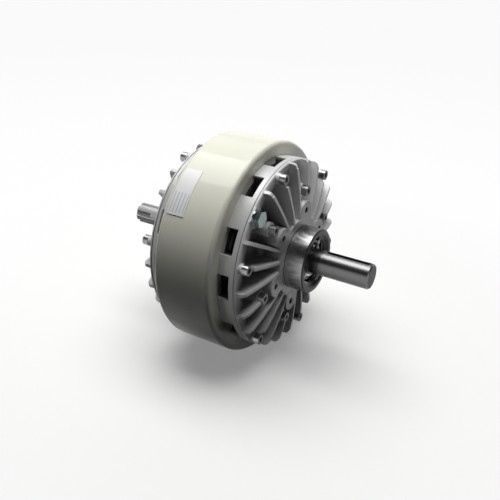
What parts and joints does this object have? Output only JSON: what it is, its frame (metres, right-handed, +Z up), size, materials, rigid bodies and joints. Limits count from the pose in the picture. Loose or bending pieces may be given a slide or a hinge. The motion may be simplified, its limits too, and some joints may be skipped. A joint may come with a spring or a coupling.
{
  "type": "magnetic powder brake",
  "caption": "Flange-mounted magnetic powder brake: painted field ring, finned end brackets on slotted rims, bearing hubs and a through shaft keyed at one end and splined at the other.",
  "frame": {"origin": "on the shaft axis, in the plane of the front mounting pads", "axes": "+X along the shaft to its keyed end, +Z up"},
  "size_m": [0.278, 0.22, 0.22],
  "materials": {
    "cream_paint": "glossy off-white enamel",
    "plate": "blank satin foil plate",
    "dark_steel": "turned magnetic steel",
    "bobbin_plastic": "moulded black plastic",
    "winding": "enamelled copper wire",
    "gland_rubber": "black rubber",
    "spacer_brass": "turned non-magnetic brass",
    "powder_iron": "fine grey iron powder",
    "sheet_steel": "plain sheet",
    "ground_steel": "ground and oiled",
    "hub_steel": "fine turned and oiled",
    "spring_steel": "phosphated spring steel",
    "machined_aluminium": "machined bright",
    "cast_aluminium": "as cast with brushed fin edges",
    "screw_steel": "bright zinc",
    "zinc_plate": "iridescent zinc",
    "bearing_steel": "polished bearing steel",
    "cage_steel": "pressed steel cage",
    "felt": "felt"
  },
  "bodies": {
    "housing": {"field_ring": "cream_paint", "rating_plate": "plate", "front_pole": "dark_steel", "rear_pole": "dark_steel", "coil_bobbin": "bobbin_plastic", "coil_winding": "winding", "lead_gland": "gland_rubber", "front_drum": "dark_steel", "drum_spacer": "spacer_brass", "rear_drum": "dark_steel", "powder": "powder_iron", "front_guard": "sheet_steel", "rear_guard": "sheet_steel", "front_rim": "machined_aluminium", "rear_rim": "machined_aluminium", "front_bracket": "cast_aluminium", "rear_bracket": "cast_aluminium", "front_hub": "hub_steel", "rear_hub": "hub_steel", "front_rim_screws": "screw_steel", "rear_rim_screws": "screw_steel", "front_hub_screws": "screw_steel", "rear_hub_screws": "screw_steel", "filler_plug": "zinc_plate", "front_outer_race": "bearing_steel", "rear_outer_race": "bearing_steel", "front_bore_clip": "spring_steel", "rear_bore_clip": "spring_steel", "front_seal": "felt", "rear_seal": "felt"},
    "shaft_rotor": {"shaft": "ground_steel", "rotor": "dark_steel", "rotor_key": "ground_steel", "rotor_clip": "spring_steel", "front_inner_race": "bearing_steel", "rear_inner_race": "bearing_steel", "front_shaft_clip": "spring_steel", "rear_shaft_clip": "spring_steel"},
    "front_ball_set": {"front_balls": "bearing_steel", "front_cage": "cage_steel"},
    "rear_ball_set": {"rear_balls": "bearing_steel", "rear_cage": "cage_steel"}
  },
  "joints": [
    {"name": "shaft_spin", "type": "hinge", "parent": "housing", "child": "shaft_rotor", "pos_m": [0, 0, 0], "axis": [1, 0, 0], "continuous": true},
    {"name": "front_balls_spin", "type": "hinge", "parent": "housing", "child": "front_ball_set", "pos_m": [0.0075, 0, 0], "axis": [1, 0, 0], "continuous": true},
    {"name": "rear_balls_spin", "type": "hinge", "parent": "housing", "child": "rear_ball_set", "pos_m": [-0.134, 0, 0], "axis": [1, 0, 0], "continuous": true}
  ],
  "couplings": [
    {"joint": "front_balls_spin", "follows": "shaft_spin", "ratio": 0.3969},
    {"joint": "rear_balls_spin", "follows": "shaft_spin", "ratio": 0.3969}
  ]
}
